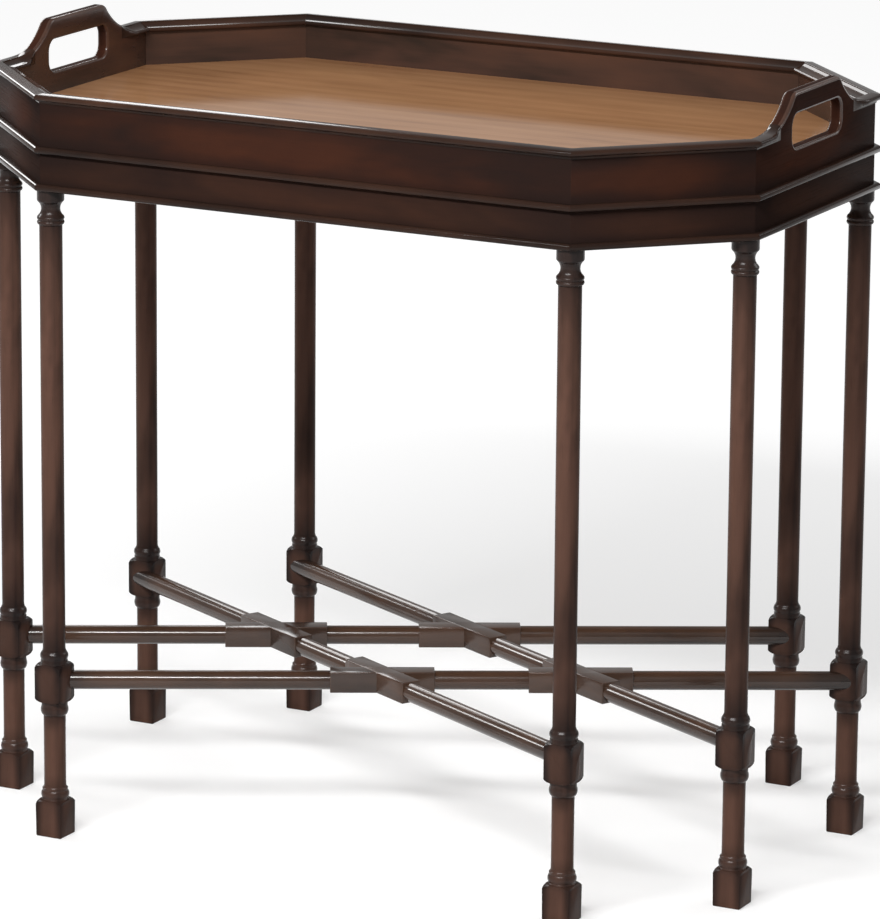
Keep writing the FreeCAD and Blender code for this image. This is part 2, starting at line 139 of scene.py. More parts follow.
def join(shape, other):
    """Adds another bmesh to a shape."""
    spare = bpy.data.meshes.new("spare")
    other.to_mesh(spare)
    other.free()
    shape.from_mesh(spare)
    bpy.data.meshes.remove(spare)


def ease(shape, edges, width, segments):
    """Rounds edges over and marks the new faces as worn."""
    made = bmesh.ops.bevel(shape, geom=edges, offset=width, offset_type="OFFSET", segments=segments,
                           profile=0.5, affect="EDGES", material=-1)
    mark = shape.faces.layers.float["worn"]
    for face in made["faces"]:
        face[mark] = 1.0


def add_box(shape, low, high, width=0.0):
    """A box between two corners, with its edges eased where a width is given."""
    size = Vector(high) - Vector(low)
    place = Matrix.Translation((Vector(low) + Vector(high)) / 2) @ Matrix.Diagonal((*size, 1))
    corners = bmesh.ops.create_cube(shape, size=1, matrix=place)["verts"]
    if width:
        edges = dict.fromkeys(edge for corner in corners for edge in corner.link_edges)
        ease(shape, list(edges), width, ease_steps)


def saw(shape, point, normal):
    """Cuts away what lies in front of a plane, and closes the cut."""
    everything = shape.verts[:] + shape.edges[:] + shape.faces[:]
    bmesh.ops.bisect_plane(shape, geom=everything, dist=cut_tolerance, plane_co=point, plane_no=normal,
                           clear_outer=True)
    open_edges = [edge for edge in shape.edges if edge.is_boundary]
    bmesh.ops.contextual_create(shape, geom=open_edges)


def curved(outline):
    """The points of an outline, with those on its arcs."""
    points = []
    for across, up, *bulge in outline:
        end = Vector((across, up))
        if bulge:
            start = points[-1]
            chord = end - start
            right_hand = Vector((chord.y, -chord.x))
            half_turn = 2 * math.atan(bulge[0])
            for count in range(1, arc_steps):
                turn = half_turn * (2 * count / arc_steps - 1)
                along = (math.sin(turn) / math.sin(half_turn) + 1) / 2
                rise = (math.cos(turn) - math.cos(half_turn)) / math.sin(half_turn) / 2
                points.append(start + chord * along + right_hand * rise)
        points.append(end)
    return points


def turning(profile):
    """A turned length: the profile spun round the upright axis."""
    turned = new_shape()
    points = [turned.verts.new((radius * mm, 0, height * mm)) for radius, height in curved(profile)]
    lines = [turned.edges.new(pair) for pair in zip(points, points[1:])]
    bmesh.ops.spin(turned, geom=points + lines, cent=(0, 0, 0), axis=(0, 0, 1), angle=2 * math.pi,
                   steps=turning_steps, use_merge=True)
    bmesh.ops.remove_doubles(turned, verts=turned.verts[:], dist=merge_tolerance)
    bmesh.ops.recalc_face_normals(turned, faces=turned.faces[:])
    return turned


def shoulder(level, down):
    """The lathe's cut over a square's shoulder, from the turning out to the square's corners."""
    points = []
    for count in range(shoulder_steps + 1):
        turn = math.pi / 2 * count / shoulder_steps
        points.append((shoulder_radius + (corner_radius - shoulder_radius) * math.sin(turn),
                       level + down * shoulder_drop * (1 - math.cos(turn))))
    return points


def square(profile):
    """A square length, planed flat on four sides and eased along its edges, its ends cut on the lathe."""
    planed = turning(profile)
    half = square_half * mm
    for way in (Vector((1, 0, 0)), Vector((-1, 0, 0)), Vector((0, 1, 0)), Vector((0, -1, 0))):
        saw(planed, way * half, way)
    edges = []
    for edge in planed.edges:
        spots = [vertex.co for vertex in edge.verts]
        off_corner = [abs(abs(spot.x) - half) + abs(abs(spot.y) - half) for spot in spots]
        upright = max(off_corner) < loose_tolerance
        at_floor = all(abs(spot.z) < tolerance for spot in spots)
        if upright or (at_floor and edge.calc_face_angle(0) > smooth_angle):
            edges.append(edge)
    bmesh.ops.bevel(planed, geom=edges, offset=square_ease, offset_type="OFFSET", segments=ease_steps,
                    profile=0.5, affect="EDGES", material=-1)
    return planed


def settle(shape, node, body, materials, own):
    """Makes the piece that stands for a node. Its grain, place and half sizes are kept in its own axes."""
    to_own = own.inverted()
    places = [to_own @ vertex.co for vertex in shape.verts]
    low = Vector([min(place[axis] for place in places) for axis in range(3)])
    high = Vector([max(place[axis] for place in places) for axis in range(3)])
    cut_from = log_step * len(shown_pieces())
    for name in ("grain", "place", "span"):
        shape.verts.layers.float_vector.new(name)
    layers = shape.verts.layers.float_vector
    for vertex, place in zip(shape.verts, places):
        vertex[layers["grain"]] = place + cut_from
        vertex[layers["place"]] = place - (low + high) / 2
        vertex[layers["span"]] = (high - low) / 2
    mesh = bpy.data.meshes.new(f"{node}_finished")
    shape.to_mesh(mesh)
    shape.free()
    mesh.shade_smooth()
    mesh.set_sharp_from_angle(angle=smooth_angle)
    for material in materials:
        mesh.materials.append(material)
    piece = bpy.data.objects.new(f"{node}_finished", mesh)
    bpy.context.scene.collection.objects.link(piece)
    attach(piece, body)
    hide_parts(node)


def add_node(owner, kind, inputs, **settings):
    """Adds a shader node. An input is a plain value or the socket that feeds it."""
    made = owner.node_tree.nodes.new(kind)
    for setting, value in settings.items():
        setattr(made, setting, value)
    for name, value in inputs.items():
        if isinstance(value, bpy.types.NodeSocket):
            owner.node_tree.links.new(value, made.inputs[name])
        else:
            made.inputs[name].default_value = value
    return made


def noise_along(material, along, across, detail, distortion):
    """Noise drawn out along a piece's grain, with the waves per metre along and across it."""
    grain = add_node(material, "ShaderNodeAttribute", {}, attribute_name="grain")
    stretched = add_node(material, "ShaderNodeMapping",
                         {"Vector": grain.outputs["Vector"], "Scale": (along, across, across)})
    noise = add_node(material, "ShaderNodeTexNoise",
                     {"Vector": stretched.outputs["Vector"], "Scale": 1.0, "Detail": detail,
                      "Roughness": noise_roughness, "Distortion": distortion})
    return noise.outputs["Fac"]


def between(material, value, low, high, to_low=0.0, to_high=1.0):
    """A value eased from one range to another."""
    ranges = {"From Min": low, "From Max": high, "To Min": to_low, "To Max": to_high}
    made = add_node(material, "ShaderNodeMapRange", {"Value": value, **ranges},
                    interpolation_type="SMOOTHSTEP")
    return made.outputs["Result"]


def mixed(material, share, first, second):
    """One colour over another. A mix node's sockets go by number, since their names repeat."""
    made = add_node(material, "ShaderNodeMix", {0: share, 6: first, 7: second}, data_type="RGBA")
    return made.outputs[2]


def blended(material, share, first, second):
    """A value between two others, by the share of the second."""
    made = add_node(material, "ShaderNodeMix", {0: share, 2: first, 3: second}, data_type="FLOAT")
    return made.outputs[0]


def computed(material, operation, first, second):
    """A sum, product or the like of two values, kept between 0 and 1."""
    made = add_node(material, "ShaderNodeMath", {0: first, 1: second}, operation=operation, use_clamp=True)
    return made.outputs["Value"]


def inside(material):
    """How far a spot lies inside its piece's own box, along, across and up."""
    place = add_node(material, "ShaderNodeAttribute", {}, attribute_name="place")
    span = add_node(material, "ShaderNodeAttribute", {}, attribute_name="span")
    size = add_node(material, "ShaderNodeVectorMath", {0: place.outputs["Vector"]}, operation="ABSOLUTE")
    left = add_node(material, "ShaderNodeVectorMath",
                    {0: span.outputs["Vector"], 1: size.outputs["Vector"]}, operation="SUBTRACT")
    return add_node(material, "ShaderNodeSeparateXYZ", {"Vector": left.outputs["Vector"]}).outputs


def plain_figure(material):
    """The lights and darks of plain straight-grained wood, from soft clouds and fine streaks."""
    clouds = noise_along(material, *cloud_noise)
    streaks = noise_along(material, *streak_noise)
    return blended(material, streak_share, clouds, streaks)


def wood(name, colours, gloss, glaze, figure=plain_figure):
    """Stained and lacquered wood. The glaze function gives how far the dark glaze covers a spot."""
    deep, middle, glow = colours
    specular, smooth, rough = gloss
    material = bpy.data.materials.new(name)
    material.use_nodes = True
    links = material.node_tree.links
    fibres = noise_along(material, *fibre_noise)
    pores = noise_along(material, *pore_noise)
    patches = noise_along(material, *patch_noise)
    tone = blended(material, fibre_share, figure(material), fibres)
    ramp = add_node(material, "ShaderNodeValToRGB", {"Fac": tone})
    ramp.color_ramp.elements[0].position = deep_tone
    ramp.color_ramp.elements[0].color = deep
    ramp.color_ramp.elements[1].position = glow_tone
    ramp.color_ramp.elements[1].color = glow
    ramp.color_ramp.elements.new(middle_tone).color = middle
    uneven = computed(material, "ADD", glaze(material), between(material, patches, *glaze_by_patch))
    glazed = mixed(material, uneven, ramp.outputs["Color"], deep)
    pored = mixed(material, between(material, pores, *dark_by_pore), glazed, deep)
    worn = add_node(material, "ShaderNodeAttribute", {}, attribute_name="worn")
    rubbed = computed(material, "MULTIPLY", worn.outputs["Fac"],
                      between(material, patches, *rubbed_by_patch))
    colour = mixed(material, rubbed, pored, glow)
    shader = material.node_tree.nodes["Principled BSDF"]
    links.new(colour, shader.inputs["Base Color"])
    links.new(between(material, fibres, *fibre_levels, smooth, rough), shader.inputs["Roughness"])
    shader.inputs["Specular IOR Level"].default_value = specular
    bump = add_node(material, "ShaderNodeBump",
                    {"Strength": bump_strength, "Distance": bump_height, "Height": fibres})
    links.new(bump.outputs["Normal"], shader.inputs["Normal"])
    return material


def leg_glaze(material):
    """The glaze lies thick in the turnings and along the squares' edges, and thins out on the shaft."""
    place = add_node(material, "ShaderNodeAttribute", {}, attribute_name="place")
    along = add_node(material, "ShaderNodeSeparateXYZ", {"Vector": place.outputs["Vector"]}).outputs["X"]
    share = add_node(material, "ShaderNodeMapRange",
                     {"Value": along, "From Min": -leg_height / 2, "From Max": leg_height / 2})
    bands = add_node(material, "ShaderNodeValToRGB", {"Fac": share.outputs["Result"]})
    ramp = bands.color_ramp
    ramp.elements.remove(ramp.elements[1])
    for height, level in leg_glaze_bands:
        stop = ramp.elements.new(height * mm / leg_height)
        stop.color = (level, level, level, 1)
    ramp.elements.remove(ramp.elements[0])
    spot = inside(material)
    nearest = computed(material, "MAXIMUM", spot["Y"], spot["Z"])
    return computed(material, "ADD", bands.outputs["Color"],
                    between(material, nearest, 0.0, edge_glaze_width, edge_glaze, 0.0))


leg_wood = wood("leg_wood", leg_colours, leg_gloss, leg_glaze)
collar_wood = wood("collar_wood", leg_colours, collar_gloss, leg_glaze)
leg_names = [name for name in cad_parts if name.startswith("leg_")]
for name in leg_names:
    low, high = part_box(name)
    middle = (low + high) / 2
    leg = new_shape()
    foot = square([(0, 0), (corner_radius, 0), *shoulder(foot_top, -1)[::-1], (0, foot_top)])
    block = square([(0, block_base), *shoulder(block_base, 1), *shoulder(block_top, -1)[::-1],
                    (0, block_top)])
    for length in (foot, turning(lower_turning), block, turning(upper_turning)):
        bmesh.ops.translate(length, verts=length.verts[:], vec=(middle.x, middle.y, 0))
        join(leg, length)
    for face in leg.faces:
        level = face.calc_center_median().z / mm
        if any(base < level < top for base, top in collars):
            face.material_index = 1
    pin_half = pin_side / 2
    add_box(leg, (middle.x - pin_half, middle.y - pin_half, high.z - pin_drop),
            (middle.x + pin_half, middle.y + pin_half, high.z))
    upright = Matrix.Translation((middle.x, middle.y, 0)) @ Matrix.Rotation(math.radians(-90), 4, "Y")
    settle(leg, name, "stand", [leg_wood, collar_wood], upright)

# Stretchers. Four round bars of hardwood cross in pairs low down between the legs. Where they cross each is
# left square and halved into the other, so that all lie flush. Each end is let into the leg's block.
bar_radius = 9 * mm
bar_sides = 40
lap_half = 10 * mm
lap_reach = 49 * mm
lap_ease = 0.8 * mm
lap_overlap = 1 * mm
aim_offset = 8 * mm
stretcher_level = 149 * mm
bar_tenon = 6 * mm
bar_colours = ((0.012, 0.0082, 0.0072, 1), (0.044, 0.024, 0.0158, 1), (0.074, 0.038, 0.0238, 1))
bar_gloss = (0.46, 0.14, 0.19)
# Metres from a bar's end where the glaze starts and stops to thin, and its share at each
bar_end_glaze = (0.01, 0.06, 0.9, 0.15)
# Name, then the two legs that it joins
stretchers = [
    ("stretcher_lower_rear", "leg_left_front", "leg_rear_right"),
    ("stretcher_lower_front", "leg_front_left", "leg_right_rear"),
    ("stretcher_upper_front", "leg_left_rear", "leg_front_right"),
    ("stretcher_upper_rear", "leg_rear_left", "leg_right_front"),
]


def bar_end(leg_name):
    """The point inside a leg's block that a stretcher is aimed at."""
    low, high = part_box(leg_name)
    middle = (low + high) / 2
    inwards = -math.copysign(aim_offset, middle.y)
    return Vector((middle.x, middle.y + inwards, stretcher_level))


def lap_block(at):
    """The square length of a bar at a crossing, before it is halved."""
    block = new_shape()
    add_box(block, (at - lap_reach, -lap_half, -lap_half), (at + lap_reach, lap_half, lap_half),
            lap_ease)
    return block


def bar_glaze(material):
    """The glaze is thin along the bars and thick at their ends."""
    return between(material, inside(material)["X"], *bar_end_glaze)


bar_wood = wood("bar_wood", bar_colours, bar_gloss, bar_glaze)
for name, start_leg, end_leg in stretchers:
    start = bar_end(start_leg)
    end = bar_end(end_leg)
    upper = "upper" in name
    length = (end - start).length
    slant = math.atan2(end.y - start.y, end.x - start.x)
    own = Matrix.Translation(start) @ Matrix.Rotation(slant, 4, "Z")
    crossings = []
    for other, other_start, other_end in stretchers:
        if ("upper" in other) == upper:
            continue
        first = bar_end(other_start)
        last = bar_end(other_end)
        meeting = intersect_line_line_2d(start.xy, end.xy, first.xy, last.xy)
        crossings.append(((meeting - start.xy).length, last - first))
    crossings.sort(key=lambda crossing: crossing[0])
    bar = new_shape()
    round_reach = lap_reach - lap_overlap
    stops = [-bar_tenon]
    for at, other_way in crossings:
        stops += [at - round_reach, at + round_reach]
    stops.append(length + bar_tenon)
    for run_start, run_end in zip(stops[::2], stops[1::2]):
        middle = Matrix.Translation(((run_start + run_end) / 2, 0, 0))
        bmesh.ops.create_cone(bar, cap_ends=True, segments=bar_sides, radius1=bar_radius,
                              radius2=bar_radius, depth=run_end - run_start,
                              matrix=middle @ Matrix.Rotation(math.pi / 2, 4, "Y"))
    for at, other_way in crossings:
        side = own.to_3x3().inverted() @ Vector((-other_way.y, other_way.x, 0)).normalized()
        if side.x < 0:
            side = -side
        spot = Vector((at, 0, 0))
        before = lap_block(at)
        saw(before, spot - side * lap_half, side)
        after = lap_block(at)
        saw(after, spot + side * lap_half, -side)
        halved = lap_block(at)
        saw(halved, spot - side * lap_half, -side)
        saw(halved, spot + side * lap_half, side)
        saw(halved, spot, Vector((0, 0, -1 if upper else 1)))
        for part in (before, halved, after):
            join(bar, part)
    bmesh.ops.transform(bar, matrix=own, verts=bar.verts[:])
    settle(bar, name, "stand", [bar_wood], own)

# Aprons. Eight boards of hardwood stand on edge round the table and meet in mitres over the legs. They
# carry the beads on their faces, and the tray sits down on their upper edges.
apron_base = 618 * mm
seat = 657.5 * mm
apron_thickness = 20 * mm
corner_ease = 0.35 * mm
spare_length = 40 * mm
mitre_angle = math.radians(22.5)
mitre = math.tan(mitre_angle)
apron_colours = ((0.017, 0.0102, 0.0088, 1), (0.027, 0.0138, 0.0102, 1), (0.042, 0.0185, 0.012, 1))
case_gloss = (0.002, 0.26, 0.32)
# Where the glaze starts and stops to change, in metres from an end, from a long edge and outwards from the
# middle, and its share at each
strip_end_glaze = (0.0, 0.10, 0.6, 0.0)
strip_edge_glaze = (0.0, 0.018, 0.6, 0.0)
strip_depth_glaze = (-0.004, 0.004, 0.3, 1.0)
round_steps = 8
short_edge = 1 * mm
# A face looks inwards when its normal's outward part is below this
inward_look = -0.7
half_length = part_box("apron_right")[1].x
half_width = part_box("apron_rear")[1].y
end_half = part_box("apron_right")[1].y
side_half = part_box("apron_rear")[1].x
# Each side's two corners, seen from outside from right to left
sides = {
    "front": ((side_half, -half_width), (-side_half, -half_width)),
    "corner_front_left": ((-side_half, -half_width), (-half_length, -end_half)),
    "left": ((-half_length, -end_half), (-half_length, end_half)),
    "corner_rear_left": ((-half_length, end_half), (-side_half, half_width)),
    "rear": ((-side_half, half_width), (side_half, half_width)),
    "corner_rear_right": ((side_half, half_width), (half_length, end_half)),
    "right": ((half_length, end_half), (half_length, -end_half)),
    "corner_front_right": ((half_length, -end_half), (side_half, -half_width)),
}


def side_frame(side):
    """A side's own axes, from the middle of its face: along it, outwards and up. Then half its length."""
    first, last = (Vector((*corner, 0)) for corner in sides[side])
    way = last - first
    return (Matrix.Translation((first + last) / 2) @ Matrix.Rotation(math.atan2(way.y, way.x), 4, "Z"),
            way.length / 2)


def grow(shape, face, way):
    """Extrudes a face into a solid."""
    grown = bmesh.ops.extrude_face_region(shape, geom=[face], use_keep_orig=True)
    moved = [item for item in grown["geom"] if isinstance(item, bmesh.types.BMVert)]
    bmesh.ops.translate(shape, verts=moved, vec=way)
    bmesh.ops.recalc_face_normals(shape, faces=shape.faces[:])


def add_length(shape, section, start, end):
    """A straight length of a section, given as points outwards and up."""
    points = [shape.verts.new((start, outwards, level)) for outwards, level in section]
    grow(shape, shape.faces.new(points), (end - start, 0, 0))


def saw_mitre(shape, half, hand, face=0.0):
    """Mitres one end of a length, whose corner lies on its own face, and eases the shared corner."""
    corner = Vector((hand * (half + face * mitre), face, 0))
    saw(shape, corner, Vector((hand, -mitre, 0)))
    outwards = Vector((hand * math.sin(mitre_angle), math.cos(mitre_angle), 0))
    saw(shape, corner - outwards * corner_ease, outwards)


def long_edges(shape, spots):
    """The edges along a length at the given outward and upward places."""
    found = []
    for edge in shape.edges:
        first, last = (vertex.co for vertex in edge.verts)
        if abs(first.x - last.x) < short_edge:
            continue
        if any(abs(first.y - outwards) + abs(first.z - level) < tolerance for outwards, level in spots):
            found.append(edge)
    return found


def strip_glaze(material):
    """The glaze darkens a strip towards its ends and its long edges, and less on its inner face."""
    spot = inside(material)
    ends = between(material, spot["X"], *strip_end_glaze)
    edges = between(material, spot["Z"], *strip_edge_glaze)
    covered = computed(material, "ADD", ends, edges)
    place = add_node(material, "ShaderNodeAttribute", {}, attribute_name="place")
    outwards = add_node(material, "ShaderNodeSeparateXYZ", {"Vector": place.outputs["Vector"]}).outputs["Y"]
    return computed(material, "MULTIPLY", covered, between(material, outwards, *strip_depth_glaze))


def mark_inner(shape):
    """Gives the faces that look inwards the second material of their piece."""
    for face in shape.faces:
        if face.normal.y < inward_look:
            face.material_index = 1


def make_strip(node, side, section, body, materials, rounded=(), width=0.0, face=0.0):
    """A mitred length of a section on one side, with some of its long edges rounded over."""
    own, half = side_frame(side)
    shape = new_shape()
    add_length(shape, section, -half - spare_length, half + spare_length)
    if rounded:
        ease(shape, long_edges(shape, rounded), width, round_steps)
    for hand in (-1, 1):
        saw_mitre(shape, half, hand, face)
    if len(materials) > 1:
        mark_inner(shape)
    bmesh.ops.transform(shape, matrix=own, verts=shape.verts[:])
    settle(shape, node, body, materials, own)


apron_wood = wood("apron_wood", apron_colours, case_gloss, strip_glaze)
apron_section = [(-apron_thickness, apron_base), (0, apron_base), (0, seat), (-apron_thickness, seat)]
for side in sides:
    make_strip(f"apron_{side}", side, apron_section, "stand", [apron_wood])

# Beads. A half-round bead of hardwood runs round the foot of the aprons, and another round their top, where
# it hides the joint under the tray. Both are thin mouldings, mitred at the corners and glued on.
bead_height = 6.5 * mm
bead_reach = 6 * mm
bead_round = 3.2 * mm
seat_bead_base = 652.75 * mm
moulding_colours = ((0.010, 0.0065, 0.0055, 1), (0.021, 0.0112, 0.0082, 1), (0.038, 0.0175, 0.011, 1))
moulding_gloss = (0.11, 0.09, 0.12)
moulding_end_glaze = (0.0, 0.08, 0.6, 0.15)


def moulding_glaze(material):
    """The glaze darkens a moulding only towards its ends."""
    return between(material, inside(material)["X"], *moulding_end_glaze)


moulding_wood = wood("moulding_wood", moulding_colours, moulding_gloss, moulding_glaze)
for side in sides:
    for kind, base in (("base_bead", apron_base), ("seat_bead", seat_bead_base)):
        top = base + bead_height
        outer_corners = [(bead_reach, base), (bead_reach, top)]
        make_strip(f"{kind}_{side}", side, [(0, base), *outer_corners, (0, top)], "stand", [moulding_wood],
                   outer_corners, bead_round, bead_reach)

# Tray floor. One wide panel, faced with a paler veneer whose grain runs along the table, and lacquered. It
# is let into grooves in the tray's walls.
panel_inset = 7.5 * mm
panel_base = 660 * mm
panel_thickness = 6 * mm
panel_colours = ((0.24, 0.108, 0.045, 1), (0.345, 0.170, 0.076, 1), (0.42, 0.218, 0.102, 1))
panel_gloss = (0.15, 0.07, 0.12)
panel_end_glaze = (0.0, 0.09, 0.3, 0.0)
panel_edge_glaze = (0.0, 0.06, 0.3, 0.0)
flame_stretch = (1.1, 9.0, 9.0)
flame_wave = {"Scale": 1.4, "Distortion": 7.0, "Detail": 2.0, "Detail Scale": 0.8}
flame_tones = (0.0, 1.0, 0.38, 0.6)
line_noise = (5.0, 330.0, 4.0, 0.2)
line_share = 0.25
plain_share = 0.6


def veneer_figure(material):
    """The long flames of a veneer that is cut along the log."""
    grain = add_node(material, "ShaderNodeAttribute", {}, attribute_name="grain")
    drawn = add_node(material, "ShaderNodeMapping",
                     {"Vector": grain.outputs["Vector"], "Scale": flame_stretch})
    flames = add_node(material, "ShaderNodeTexWave", {"Vector": drawn.outputs["Vector"], **flame_wave},
                      bands_direction="Y")
    tones = between(material, flames.outputs["Fac"], *flame_tones)
    flamed = blended(material, plain_share, tones, plain_figure(material))
    return blended(material, line_share, flamed, noise_along(material, *line_noise))


def panel_glaze(material):
    """The glaze only shades the outer edge of the panel."""
    spot = inside(material)
    ends = between(material, spot["X"], *panel_end_glaze)
    edges = between(material, spot["Y"], *panel_edge_glaze)
    return computed(material, "ADD", ends, edges)


panel_wood = wood("panel_wood", panel_colours, panel_gloss, panel_glaze, veneer_figure)
panel = new_shape()
panel_corners = []
for side in sides:
    own, half = side_frame(side)
    corner = own @ Vector((-half + panel_inset * mitre, -panel_inset, panel_base))
    panel_corners.append(panel.verts.new(corner))
grow(panel, panel.faces.new(panel_corners), (0, 0, panel_thickness))
settle(panel, "tray_floor", "tray", [panel_wood], Matrix.Identity(4))

# Tray walls. Six plain boards of hardwood stand on edge round the tray and are mitred together with the two
# end boards. Their inner faces are lacquered to a higher shine, and their colours are painted lighter and
# greyer than the outer faces, as painted light and a painted reflection.
wall_out = -0.4 * mm
wall_in = -12.4 * mm
rim_base = 699 * mm
case_colours = ((0.018, 0.0106, 0.0090, 1), (0.031, 0.0132, 0.0092, 1), (0.050, 0.018, 0.0105, 1))
# Painted light and reflection: the inner faces' colours are lighter and greyer than the outer faces'
inner_painted_light_colours = ((0.022, 0.014, 0.011, 1), (0.049, 0.0245, 0.0175, 1), (0.076, 0.034, 0.021, 1))
inner_gloss = (0.45, 0.18, 0.24)
inner_end_glaze = (0.0, 0.05, 0.4, 0.05)


def inner_glaze(material):
    """The glaze darkens the inner faces only towards their ends."""
    return between(material, inside(material)["X"], *inner_end_glaze)


case_wood = wood("case_wood", case_colours, case_gloss, strip_glaze)
inner_painted_light_wood = wood("inner_painted_light_wood", inner_painted_light_colours, inner_gloss, inner_glaze)
wall_section = [(wall_in, seat), (wall_out, seat), (wall_out, rim_base), (wall_in, rim_base)]
for side in sides:
    if side not in ("left", "right"):
        make_strip(f"tray_wall_{side}", side, wall_section, "tray", [case_wood, inner_painted_light_wood], face=wall_out)

# End boards. The boards of hardwood at the two ends rise in an ogee to a straight crest, with a hand hole
# sawn under it, so that the tray can be carried. Crest and hole are rounded over for the hand.
rim_top = 708 * mm
crest_top = 737 * mm
crest_half = 45 * mm
return_length = 28 * mm
hollow_share = 0.85
hole_half = 54 * mm
hole_base = 686 * mm
hole_top = 717 * mm
hole_corner = 11 * mm
crest_round = 3 * mm
hole_round = 2.2 * mm
hollow_steps = 20
crest_corner_steps = 8
hole_corner_steps = 8
crest_steps = 5
hole_steps = 4
sharp_angle = math.radians(60)
end_length_half = side_frame("left")[1]
step = end_length_half - return_length
ogee_run = step - crest_half
ogee_rise = crest_top - rim_top
ogee_turn = 2 * math.atan2(ogee_rise, ogee_run)
ogee_radii = ogee_run / math.sin(ogee_turn)
hollow_radius = hollow_share * ogee_radii
tail_length = 23.5 * mm
tail_lap = 1 * mm
tail_turn = math.asin(tail_length / hollow_radius)
tail_top = rim_top + hollow_radius * (1 - math.cos(tail_turn))
hollow_tangent = hollow_radius * math.tan((ogee_turn - tail_turn) / 2)
round_tangent = (1 - hollow_share) * ogee_radii * math.tan(ogee_turn / 2)
# The bevels that make the ogee stop just short of each other, so that the line between them stays
just_short = 0.999


def through_edges(board, spots):
    """The edges through a board's thickness at the given places."""
    found = []
    for edge in board.edges:
        first, last = (vertex.co for vertex in edge.verts)
        if abs(first.y - last.y) < short_edge:
            continue
        if any(abs(first.x - along) + abs(first.z - level) < tolerance for along, level in spots):
            found.append(edge)
    return found


for side in ("left", "right"):
    own, half = side_frame(side)
    board = new_shape()
    board_step = step - tail_length + tail_lap
    hollow_corner = (step - tail_length - hollow_tangent * math.cos(tail_turn),
                     tail_top + hollow_tangent * math.sin(tail_turn))
    round_corner = (crest_half + round_tangent, crest_top)
    hole_corners = [(hole_half, hole_top), (hole_half, hole_base)]
    outline = [
        (0, seat), (half + spare_length, seat), (half + spare_length, rim_base), (board_step, rim_base),
        (board_step, tail_top - tail_lap * math.tan(tail_turn)), hollow_corner, round_corner,
        (0, crest_top), (0, hole_top), *hole_corners, (0, hole_base),
    ]
    points = [board.verts.new((along, wall_in, level)) for along, level in outline]
    grow(board, board.faces.new(points), (0, wall_out - wall_in, 0))
    for spots, size, segments in (([hollow_corner], hollow_tangent * just_short, hollow_steps),
                                  ([round_corner], round_tangent * just_short, crest_corner_steps),
                                  (hole_corners, hole_corner, hole_corner_steps)):
        bmesh.ops.bevel(board, geom=through_edges(board, spots), offset=size, offset_type="OFFSET",
                        segments=segments, profile=0.5, affect="EDGES", material=-1)
    seam = [face for face in board.faces if all(abs(vertex.co.x) < tolerance for vertex in face.verts)]
    bmesh.ops.delete(board, geom=seam, context="FACES_ONLY")
    half_board = board.verts[:] + board.edges[:] + board.faces[:]
    bmesh.ops.mirror(board, geom=half_board, axis="X", merge_dist=tolerance)
    bmesh.ops.remove_doubles(board, verts=board.verts[:], dist=merge_tolerance)
    bmesh.ops.recalc_face_normals(board, faces=board.faces[:])
    crest_edges = []
    hole_edges = []
    for edge in board.edges:
        first, last = (vertex.co for vertex in edge.verts)
        if abs(first.y - last.y) > tolerance or edge.calc_face_angle(0) < sharp_angle:
            continue
        middle = (first + last) / 2
        if abs(abs(middle.x) - board_step) < tolerance:
            continue
        in_length = abs(middle.x) < hole_half + loose_tolerance
        in_height = hole_base - loose_tolerance < middle.z < hole_top + loose_tolerance
        if in_length and in_height:
            hole_edges.append(edge)
        elif middle.z > rim_top - loose_tolerance:
            crest_edges.append(edge)
    ease(board, crest_edges, crest_round, crest_steps)
    ease(board, [edge for edge in hole_edges if edge.is_valid], hole_round, hole_steps)
    for hand in (-1, 1):
        saw_mitre(board, half, hand, wall_out)
    mark_inner(board)
    # The rounded crest and hole take the inner faces' material, its gloss and its painted lighter colours
    worn = board.faces.layers.float["worn"]
    for face in board.faces:
        if face[worn]:
            face.material_index = 1
    bmesh.ops.transform(board, matrix=own, verts=board.verts[:])
    settle(board, f"tray_end_{side}", "tray", [case_wood, inner_painted_light_wood], own)

# Rims. A moulded capping of hardwood runs along the walls, mitred at the corners and glued down: a round
# nose over a small cove, a flat band, a quirk, a hollow, and a small bead over the tray. Short returns
# carry it on to the end boards, where each end is carved away into the start of the ogee.
rim_reach = 6 * mm
# Outwards and up from the rim's base, in millimetres, with arcs as in the turnings
rim_outline = [
    (0.2, 0), (2.6, 2.9, -0.38), (4.3, 3.2), (3.6, 8.1, 0.82), (-5.6, 9), (-6, 8.6, 0.41), (-6, 7.8),
    (-16.5, 4.2, -0.15), (-16.5, 0, 0.85),
]
rim_section = [(outwards * mm, rim_base + level * mm) for outwards, level in curved(rim_outline)]
rim_colours = ((0.014, 0.0082, 0.0065, 1), (0.036, 0.0175, 0.0115, 1), (0.062, 0.028, 0.017, 1))
rim_gloss = (0.11, 0.09, 0.12)
rim_wood = wood("rim_wood", rim_colours, rim_gloss, moulding_glaze)
# Where each point of the rim's outline ends at the tip of a return: outwards, and up from the ogee there.
# The slight arcs look straight, and have as many points as the rim's arcs.
slight = 0.001
tail_outline = [
    (-0.3, -20), (-0.3, -5, slight), (-0.3, -3), (-3.3, 0, 0.41), (-8, 0), (-8.5, 0, slight), (-9.5, 0),
    (-12.5, -3, 0.41), (-12.5, -20, slight),
]
tail_steps = 12
tail_proud = 0.1 * mm
for side in sides:
    if side not in ("left", "right"):
        make_strip(f"rim_{side}", side, rim_section, "tray", [rim_wood], face=rim_reach)


